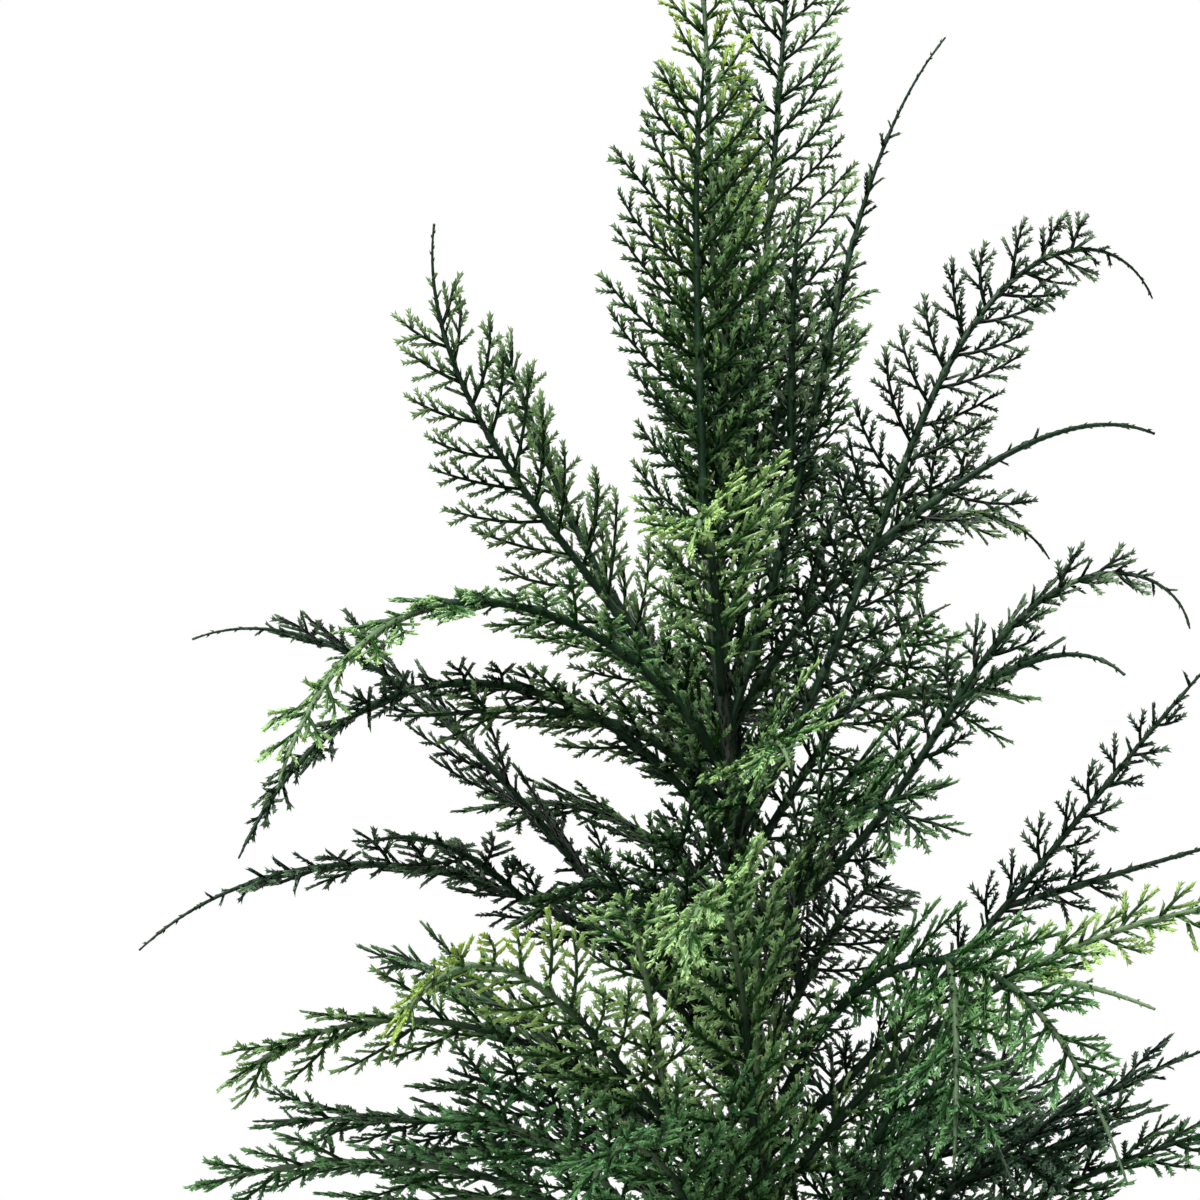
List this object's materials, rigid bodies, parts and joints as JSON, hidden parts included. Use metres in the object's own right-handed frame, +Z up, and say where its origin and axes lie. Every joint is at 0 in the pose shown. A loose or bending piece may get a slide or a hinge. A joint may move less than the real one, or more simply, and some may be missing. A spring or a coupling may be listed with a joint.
{
  "type": "potted artificial cypress tree",
  "caption": "Full artificial cypress in a plain pot: arching boughs with flat fern-like evergreen sprays on a slender trunk, as a standing indoor plant.",
  "frame": {"origin": "middle of the pot's flat underside", "axes": "+Z up along the tree, -Y towards its front, +X to the right seen from the front"},
  "size_m": [0.5859, 0.5717, 1.2213],
  "materials": {
    "pot": "satin",
    "fill": "matte",
    "bark": "matte",
    "foliage_dark": "matte",
    "foliage_mid": "matte",
    "foliage_green": "matte",
    "foliage_fresh": "matte"
  },
  "bodies": {
    "root": {"pot": "pot", "fill": "fill", "trunk": "bark", "leader_a_spray": "foliage_mid", "leader_b_spray": "foliage_mid", "leader_c_spray": "foliage_green", "high_right_a_spray": "foliage_dark", "high_right_b_bough": "bark", "high_right_b_spray": "foliage_dark", "high_right_c_bough": "bark", "high_right_c_spray": "foliage_dark", "high_right_d_spray": "foliage_mid", "high_left_a_spray": "foliage_mid", "high_left_b_spray": "foliage_fresh", "high_left_c_bough": "bark", "high_left_c_spray": "foliage_dark", "high_left_d_spray": "foliage_dark", "high_left_e_spray": "foliage_mid", "high_left_f_spray": "foliage_mid", "mid_left_a_bough": "bark", "mid_left_a_spray": "foliage_dark", "mid_left_b_spray": "foliage_fresh", "mid_left_c_spray": "foliage_green", "mid_left_d_spray": "foliage_mid", "mid_left_e_bough": "bark", "mid_left_e_spray": "foliage_green", "mid_right_a_bough": "bark", "mid_right_a_spray": "foliage_dark", "mid_right_b_spray": "foliage_fresh", "mid_right_c_bough": "bark", "mid_right_c_spray": "foliage_green", "mid_right_d_bough": "bark", "mid_right_d_spray": "foliage_dark", "mid_right_e_spray": "foliage_mid", "front_a_spray": "foliage_fresh", "front_b_bough": "bark", "front_b_spray": "foliage_fresh", "front_c_spray": "foliage_fresh", "front_d_spray": "foliage_green", "front_e_spray": "foliage_mid", "front_f_spray": "foliage_mid", "front_g_spray": "foliage_mid", "back_a_spray": "foliage_mid", "back_b_spray": "foliage_mid", "back_c_spray": "foliage_green", "back_d_bough": "bark", "back_d_spray": "foliage_dark", "back_e_spray": "foliage_mid", "back_f_spray": "foliage_dark", "back_g_spray": "foliage_mid", "back_h_spray": "foliage_green", "low_a_spray": "foliage_mid", "low_b_bough": "bark", "low_b_spray": "foliage_dark", "low_c_spray": "foliage_dark", "low_d_spray": "foliage_green", "low_e_spray": "foliage_mid", "low_f_spray": "foliage_mid", "low_g_spray": "foliage_dark", "low_h_spray": "foliage_mid"}
  },
  "joints": []
}
